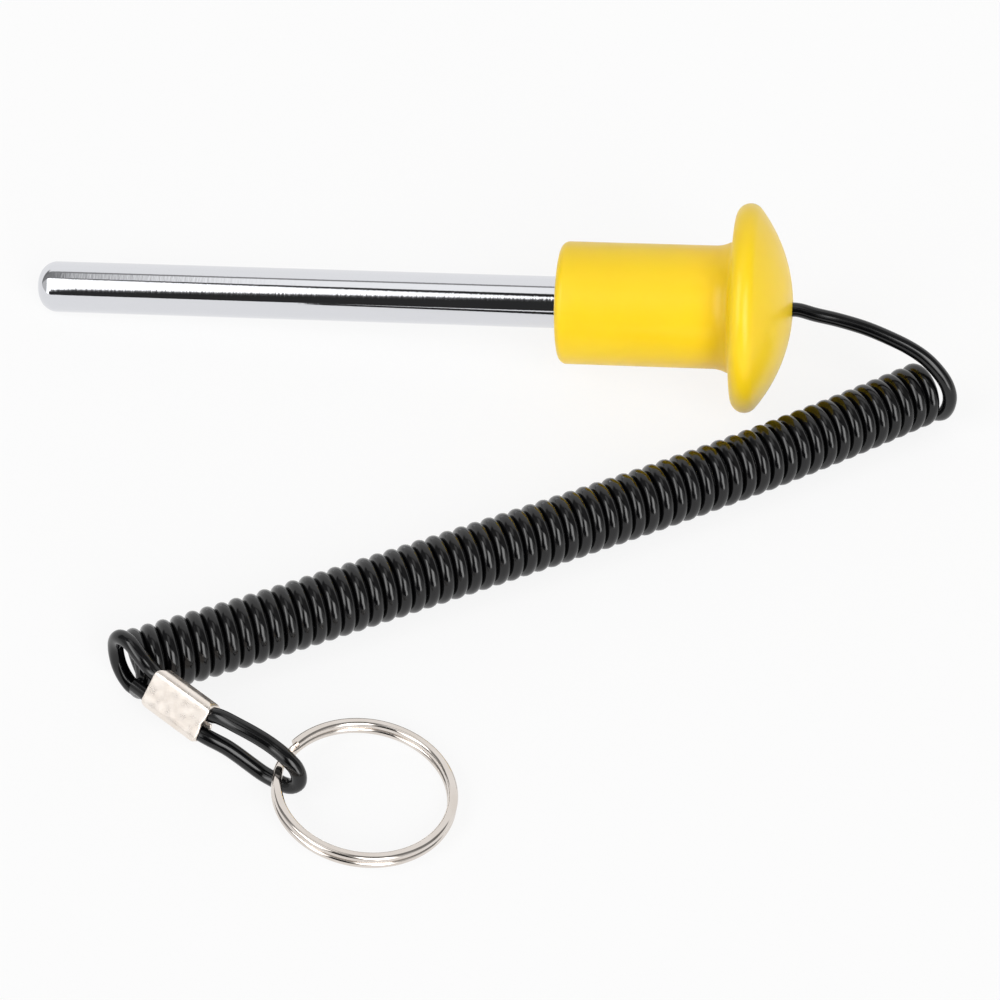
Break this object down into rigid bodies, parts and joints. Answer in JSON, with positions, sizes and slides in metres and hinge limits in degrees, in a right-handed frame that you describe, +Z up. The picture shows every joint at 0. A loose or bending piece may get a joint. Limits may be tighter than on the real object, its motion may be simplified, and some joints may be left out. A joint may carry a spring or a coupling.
{
  "type": "weight stack selector pin",
  "caption": "Selector pin for a weight stack: plain steel rod with a domed nose, moulded pull knob, coiled cord lanyard and split ring.",
  "frame": {"origin": "centre of the footprint of the pin and knob, on the surface they lie on", "axes": "+Z up from the surface, +X along the footprint of the pin from its nose to the knob; the pin's own axis climbs about 6.3 degrees towards the knob"},
  "size_m": [0.1807, 0.1508, 0.0398],
  "materials": {
    "pin_steel": "polished chrome plate",
    "yellow_plastic": "smooth moulded, semi-gloss",
    "nickel_plate": "bright nickel plate",
    "black_plastic": "smooth extruded plastic jacket"
  },
  "bodies": {
    "pin_and_cord": {"pin": "pin_steel", "knob": "yellow_plastic", "cord_stop": "nickel_plate", "cord_lead": "black_plastic", "cord_coil": "black_plastic", "cord_tail": "black_plastic", "ferrule": "nickel_plate"},
    "ring": {"split_ring": "nickel_plate"}
  },
  "joints": [
    {"name": "ring_swing", "type": "hinge", "parent": "pin_and_cord", "child": "ring", "pos_m": [-0.00484, -0.11392, 0.00452], "axis": [-0.0698, -0.9976, 0], "range_deg": [0, 100]}
  ]
}
